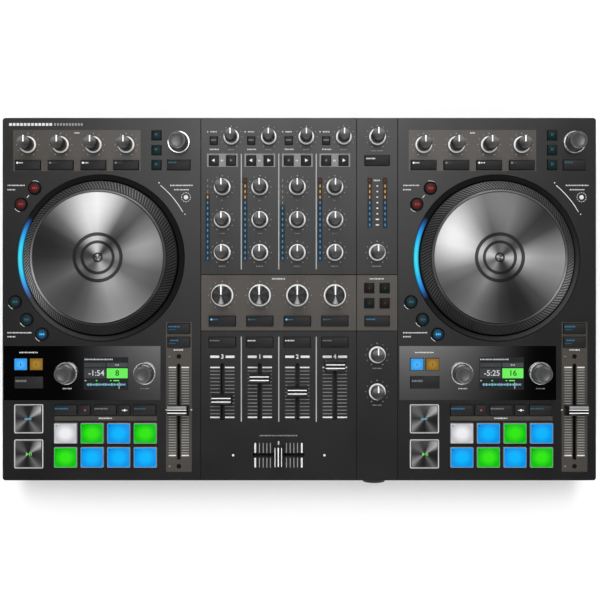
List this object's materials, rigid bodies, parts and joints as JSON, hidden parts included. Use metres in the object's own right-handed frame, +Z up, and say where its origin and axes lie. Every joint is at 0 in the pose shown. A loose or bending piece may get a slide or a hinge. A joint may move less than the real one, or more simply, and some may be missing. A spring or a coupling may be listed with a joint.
{
  "type": "dj controller",
  "caption": "Table-top DJ controller with two spinning jog wheels, colour pads, knobs, encoders, volume and tempo faders, a crossfader, displays and rear sockets.",
  "frame": {"origin": "middle of the footprint, on the surface that the feet stand on", "axes": "+X to the user's right, +Y to the rear edge with the sockets, +Z up"},
  "size_m": [0.6, 0.3714, 0.078],
  "materials": {
    "dark_panel": "satin, fine texture",
    "case_plastic": "fine moulded grain",
    "board": "solder resist",
    "gloss_black": "polished",
    "socket_plastic": "moulded",
    "rubber": "matte",
    "screw_steel": "blackened",
    "platter_metal": "spun and clear anodised",
    "control_plastic": "soft touch",
    "pad_silicone": "translucent silicone, lit from below",
    "button_plastic": "satin",
    "grip_rubber": "knurled",
    "warm_grey_panel": "satin",
    "white_print": "printed",
    "chrome_trim": "polished",
    "white_light": "lit light guide",
    "blue_light": "lit light guide",
    "green_light": "lit light guide",
    "red_light": "lit light guide",
    "amber_light": "lit light guide",
    "screen": "lit display"
  },
  "bodies": {
    "case": {"top_panel": "dark_panel", "bottom_case": "case_plastic", "circuit_boards": "board", "jog_bases": "gloss_black", "display_windows": "gloss_black", "sockets": "socket_plastic", "rubber_feet": "rubber", "case_screws": "screw_steel"},
    "left_jog_wheel": {"left_jog_wheel": "platter_metal"},
    "right_jog_wheel": {"right_jog_wheel": "platter_metal"},
    "volume_fader_1": {"volume_fader_1": "control_plastic"},
    "volume_fader_2": {"volume_fader_2": "control_plastic"},
    "volume_fader_3": {"volume_fader_3": "control_plastic"},
    "volume_fader_4": {"volume_fader_4": "control_plastic"},
    "crossfader": {"crossfader": "control_plastic"},
    "left_tempo_fader": {"left_tempo_fader": "control_plastic"},
    "right_tempo_fader": {"right_tempo_fader": "control_plastic"},
    "left_pads": {"left_pads": "pad_silicone"},
    "right_pads": {"right_pads": "pad_silicone"},
    "left_deck_buttons": {"left_deck_buttons": "button_plastic"},
    "right_deck_buttons": {"right_deck_buttons": "button_plastic"},
    "mixer_buttons": {"mixer_buttons": "button_plastic"},
    "left_browse_encoder": {"left_browse_encoder": "control_plastic"},
    "right_browse_encoder": {"right_browse_encoder": "control_plastic"},
    "left_display_encoder_1": {"left_display_encoder_1": "control_plastic"},
    "left_display_encoder_2": {"left_display_encoder_2": "control_plastic"},
    "right_display_encoder_1": {"right_display_encoder_1": "control_plastic"},
    "right_display_encoder_2": {"right_display_encoder_2": "control_plastic"},
    "mixer_fx_knob_1": {"mixer_fx_knob_1": "control_plastic"},
    "mixer_fx_knob_2": {"mixer_fx_knob_2": "control_plastic"},
    "mixer_fx_knob_3": {"mixer_fx_knob_3": "control_plastic"},
    "mixer_fx_knob_4": {"mixer_fx_knob_4": "control_plastic"},
    "left_fx_knob_1": {"left_fx_knob_1": "control_plastic"},
    "left_fx_knob_2": {"left_fx_knob_2": "control_plastic"},
    "left_fx_knob_3": {"left_fx_knob_3": "control_plastic"},
    "left_fx_knob_4": {"left_fx_knob_4": "control_plastic"},
    "right_fx_knob_1": {"right_fx_knob_1": "control_plastic"},
    "right_fx_knob_2": {"right_fx_knob_2": "control_plastic"},
    "right_fx_knob_3": {"right_fx_knob_3": "control_plastic"},
    "right_fx_knob_4": {"right_fx_knob_4": "control_plastic"},
    "gain_knob_1": {"gain_knob_1": "control_plastic"},
    "gain_knob_2": {"gain_knob_2": "control_plastic"},
    "gain_knob_3": {"gain_knob_3": "control_plastic"},
    "gain_knob_4": {"gain_knob_4": "control_plastic"},
    "treble_knob_1": {"treble_knob_1": "control_plastic"},
    "treble_knob_2": {"treble_knob_2": "control_plastic"},
    "treble_knob_3": {"treble_knob_3": "control_plastic"},
    "treble_knob_4": {"treble_knob_4": "control_plastic"},
    "mid_knob_1": {"mid_knob_1": "control_plastic"},
    "mid_knob_2": {"mid_knob_2": "control_plastic"},
    "mid_knob_3": {"mid_knob_3": "control_plastic"},
    "mid_knob_4": {"mid_knob_4": "control_plastic"},
    "bass_knob_1": {"bass_knob_1": "control_plastic"},
    "bass_knob_2": {"bass_knob_2": "control_plastic"},
    "bass_knob_3": {"bass_knob_3": "control_plastic"},
    "bass_knob_4": {"bass_knob_4": "control_plastic"},
    "master_knob": {"master_knob": "control_plastic"},
    "booth_knob": {"booth_knob": "control_plastic"},
    "cue_mix_knob": {"cue_mix_knob": "control_plastic"},
    "cue_volume_knob": {"cue_volume_knob": "control_plastic"}
  },
  "joints": [
    {"name": "left_jog_spin", "type": "hinge", "parent": "case", "child": "left_jog_wheel", "pos_m": [-0.2005, 0.0415, 0.061], "axis": [0, 0, 1], "continuous": true},
    {"name": "right_jog_spin", "type": "hinge", "parent": "case", "child": "right_jog_wheel", "pos_m": [0.1995, 0.0415, 0.061], "axis": [0, 0, 1], "continuous": true},
    {"name": "volume_fader_1_slide", "type": "slide", "parent": "case", "child": "volume_fader_1", "axis": [0, 1, 0], "range_m": [-0.0194, 0.0334]},
    {"name": "volume_fader_2_slide", "type": "slide", "parent": "case", "child": "volume_fader_2", "axis": [0, 1, 0], "range_m": [-0.0408, 0.012]},
    {"name": "volume_fader_3_slide", "type": "slide", "parent": "case", "child": "volume_fader_3", "axis": [0, 1, 0], "range_m": [-0.0274, 0.0254]},
    {"name": "volume_fader_4_slide", "type": "slide", "parent": "case", "child": "volume_fader_4", "axis": [0, 1, 0], "range_m": [-0.0528, 0]},
    {"name": "crossfader_slide", "type": "slide", "parent": "case", "child": "crossfader", "axis": [1, 0, 0], "range_m": [-0.0239, 0.0239]},
    {"name": "left_tempo_fader_slide", "type": "slide", "parent": "case", "child": "left_tempo_fader", "axis": [0, 1, 0], "range_m": [-0.0481, 0.0444]},
    {"name": "right_tempo_fader_slide", "type": "slide", "parent": "case", "child": "right_tempo_fader", "axis": [0, 1, 0], "range_m": [-0.0481, 0.0444]},
    {"name": "left_pads_press", "type": "slide", "parent": "case", "child": "left_pads", "axis": [0, 0, -1], "range_m": [0, 0.0012], "stiffness_N_per_m": 500, "springref_m": -0.004},
    {"name": "right_pads_press", "type": "slide", "parent": "case", "child": "right_pads", "axis": [0, 0, -1], "range_m": [0, 0.0012], "stiffness_N_per_m": 500, "springref_m": -0.004},
    {"name": "left_deck_buttons_press", "type": "slide", "parent": "case", "child": "left_deck_buttons", "axis": [0, 0, -1], "range_m": [0, 0.0012], "stiffness_N_per_m": 500, "springref_m": -0.004},
    {"name": "right_deck_buttons_press", "type": "slide", "parent": "case", "child": "right_deck_buttons", "axis": [0, 0, -1], "range_m": [0, 0.0012], "stiffness_N_per_m": 500, "springref_m": -0.004},
    {"name": "mixer_buttons_press", "type": "slide", "parent": "case", "child": "mixer_buttons", "axis": [0, 0, -1], "range_m": [0, 0.0012], "stiffness_N_per_m": 500, "springref_m": -0.004},
    {"name": "left_browse_encoder_turn", "type": "hinge", "parent": "case", "child": "left_browse_encoder", "pos_m": [-0.1218, 0.1586, 0.061], "axis": [0, 0, 1], "continuous": true},
    {"name": "right_browse_encoder_turn", "type": "hinge", "parent": "case", "child": "right_browse_encoder", "pos_m": [0.2782, 0.1586, 0.061], "axis": [0, 0, 1], "continuous": true},
    {"name": "left_display_encoder_1_turn", "type": "hinge", "parent": "case", "child": "left_display_encoder_1", "pos_m": [-0.2356, -0.075, 0.061], "axis": [0, 0, 1], "continuous": true},
    {"name": "left_display_encoder_2_turn", "type": "hinge", "parent": "case", "child": "left_display_encoder_2", "pos_m": [-0.1562, -0.075, 0.061], "axis": [0, 0, 1], "continuous": true},
    {"name": "right_display_encoder_1_turn", "type": "hinge", "parent": "case", "child": "right_display_encoder_1", "pos_m": [0.1644, -0.075, 0.061], "axis": [0, 0, 1], "continuous": true},
    {"name": "right_display_encoder_2_turn", "type": "hinge", "parent": "case", "child": "right_display_encoder_2", "pos_m": [0.2438, -0.075, 0.061], "axis": [0, 0, 1], "continuous": true},
    {"name": "mixer_fx_knob_1_turn", "type": "hinge", "parent": "case", "child": "mixer_fx_knob_1", "pos_m": [-0.0778, 0.0039, 0.061], "axis": [0, 0, 1], "range_deg": [-150, 150]},
    {"name": "mixer_fx_knob_2_turn", "type": "hinge", "parent": "case", "child": "mixer_fx_knob_2", "pos_m": [-0.0399, 0.0039, 0.061], "axis": [0, 0, 1], "range_deg": [-150, 150]},
    {"name": "mixer_fx_knob_3_turn", "type": "hinge", "parent": "case", "child": "mixer_fx_knob_3", "pos_m": [-0.002, 0.0039, 0.061], "axis": [0, 0, 1], "range_deg": [-150, 150]},
    {"name": "mixer_fx_knob_4_turn", "type": "hinge", "parent": "case", "child": "mixer_fx_knob_4", "pos_m": [0.0359, 0.0039, 0.061], "axis": [0, 0, 1], "range_deg": [-150, 150]},
    {"name": "left_fx_knob_1_turn", "type": "hinge", "parent": "case", "child": "left_fx_knob_1", "pos_m": [-0.27435, 0.1561, 0.061], "axis": [0, 0, 1], "range_deg": [-150, 150]},
    {"name": "left_fx_knob_2_turn", "type": "hinge", "parent": "case", "child": "left_fx_knob_2", "pos_m": [-0.24125, 0.1561, 0.061], "axis": [0, 0, 1], "range_deg": [-150, 150]},
    {"name": "left_fx_knob_3_turn", "type": "hinge", "parent": "case", "child": "left_fx_knob_3", "pos_m": [-0.20815, 0.1561, 0.061], "axis": [0, 0, 1], "range_deg": [-150, 150]},
    {"name": "left_fx_knob_4_turn", "type": "hinge", "parent": "case", "child": "left_fx_knob_4", "pos_m": [-0.17505, 0.1561, 0.061], "axis": [0, 0, 1], "range_deg": [-150, 150]},
    {"name": "right_fx_knob_1_turn", "type": "hinge", "parent": "case", "child": "right_fx_knob_1", "pos_m": [0.12565, 0.1561, 0.061], "axis": [0, 0, 1], "range_deg": [-150, 150]},
    {"name": "right_fx_knob_2_turn", "type": "hinge", "parent": "case", "child": "right_fx_knob_2", "pos_m": [0.15875, 0.1561, 0.061], "axis": [0, 0, 1], "range_deg": [-150, 150]},
    {"name": "right_fx_knob_3_turn", "type": "hinge", "parent": "case", "child": "right_fx_knob_3", "pos_m": [0.19185, 0.1561, 0.061], "axis": [0, 0, 1], "range_deg": [-150, 150]},
    {"name": "right_fx_knob_4_turn", "type": "hinge", "parent": "case", "child": "right_fx_knob_4", "pos_m": [0.22495, 0.1561, 0.061], "axis": [0, 0, 1], "range_deg": [-150, 150]},
    {"name": "gain_knob_1_turn", "type": "hinge", "parent": "case", "child": "gain_knob_1", "pos_m": [-0.06875, 0.1641, 0.061], "axis": [0, 0, 1], "range_deg": [-150, 150]},
    {"name": "gain_knob_2_turn", "type": "hinge", "parent": "case", "child": "gain_knob_2", "pos_m": [-0.03085, 0.1641, 0.061], "axis": [0, 0, 1], "range_deg": [-150, 150]},
    {"name": "gain_knob_3_turn", "type": "hinge", "parent": "case", "child": "gain_knob_3", "pos_m": [0.00705, 0.1641, 0.061], "axis": [0, 0, 1], "range_deg": [-150, 150]},
    {"name": "gain_knob_4_turn", "type": "hinge", "parent": "case", "child": "gain_knob_4", "pos_m": [0.04495, 0.1641, 0.061], "axis": [0, 0, 1], "range_deg": [-150, 150]},
    {"name": "treble_knob_1_turn", "type": "hinge", "parent": "case", "child": "treble_knob_1", "pos_m": [-0.0778, 0.1134, 0.061], "axis": [0, 0, 1], "range_deg": [-150, 150]},
    {"name": "treble_knob_2_turn", "type": "hinge", "parent": "case", "child": "treble_knob_2", "pos_m": [-0.0399, 0.1134, 0.061], "axis": [0, 0, 1], "range_deg": [-150, 150]},
    {"name": "treble_knob_3_turn", "type": "hinge", "parent": "case", "child": "treble_knob_3", "pos_m": [-0.002, 0.1134, 0.061], "axis": [0, 0, 1], "range_deg": [-150, 150]},
    {"name": "treble_knob_4_turn", "type": "hinge", "parent": "case", "child": "treble_knob_4", "pos_m": [0.0359, 0.1134, 0.061], "axis": [0, 0, 1], "range_deg": [-150, 150]},
    {"name": "mid_knob_1_turn", "type": "hinge", "parent": "case", "child": "mid_knob_1", "pos_m": [-0.0778, 0.0803, 0.061], "axis": [0, 0, 1], "range_deg": [-150, 150]},
    {"name": "mid_knob_2_turn", "type": "hinge", "parent": "case", "child": "mid_knob_2", "pos_m": [-0.0399, 0.0803, 0.061], "axis": [0, 0, 1], "range_deg": [-150, 150]},
    {"name": "mid_knob_3_turn", "type": "hinge", "parent": "case", "child": "mid_knob_3", "pos_m": [-0.002, 0.0803, 0.061], "axis": [0, 0, 1], "range_deg": [-150, 150]},
    {"name": "mid_knob_4_turn", "type": "hinge", "parent": "case", "child": "mid_knob_4", "pos_m": [0.0359, 0.0803, 0.061], "axis": [0, 0, 1], "range_deg": [-150, 150]},
    {"name": "bass_knob_1_turn", "type": "hinge", "parent": "case", "child": "bass_knob_1", "pos_m": [-0.0778, 0.0472, 0.061], "axis": [0, 0, 1], "range_deg": [-150, 150]},
    {"name": "bass_knob_2_turn", "type": "hinge", "parent": "case", "child": "bass_knob_2", "pos_m": [-0.0399, 0.0472, 0.061], "axis": [0, 0, 1], "range_deg": [-150, 150]},
    {"name": "bass_knob_3_turn", "type": "hinge", "parent": "case", "child": "bass_knob_3", "pos_m": [-0.002, 0.0472, 0.061], "axis": [0, 0, 1], "range_deg": [-150, 150]},
    {"name": "bass_knob_4_turn", "type": "hinge", "parent": "case", "child": "bass_knob_4", "pos_m": [0.0359, 0.0472, 0.061], "axis": [0, 0, 1], "range_deg": [-150, 150]},
    {"name": "master_knob_turn", "type": "hinge", "parent": "case", "child": "master_knob", "pos_m": [0.079, 0.1641, 0.061], "axis": [0, 0, 1], "range_deg": [-150, 150]},
    {"name": "booth_knob_turn", "type": "hinge", "parent": "case", "child": "booth_knob", "pos_m": [0.0787, 0.0472, 0.061], "axis": [0, 0, 1], "range_deg": [-150, 150]},
    {"name": "cue_mix_knob_turn", "type": "hinge", "parent": "case", "child": "cue_mix_knob", "pos_m": [0.0787, -0.0562, 0.061], "axis": [0, 0, 1], "range_deg": [-150, 150]},
    {"name": "cue_volume_knob_turn", "type": "hinge", "parent": "case", "child": "cue_volume_knob", "pos_m": [0.0787, -0.0936, 0.061], "axis": [0, 0, 1], "range_deg": [-150, 150]}
  ]
}
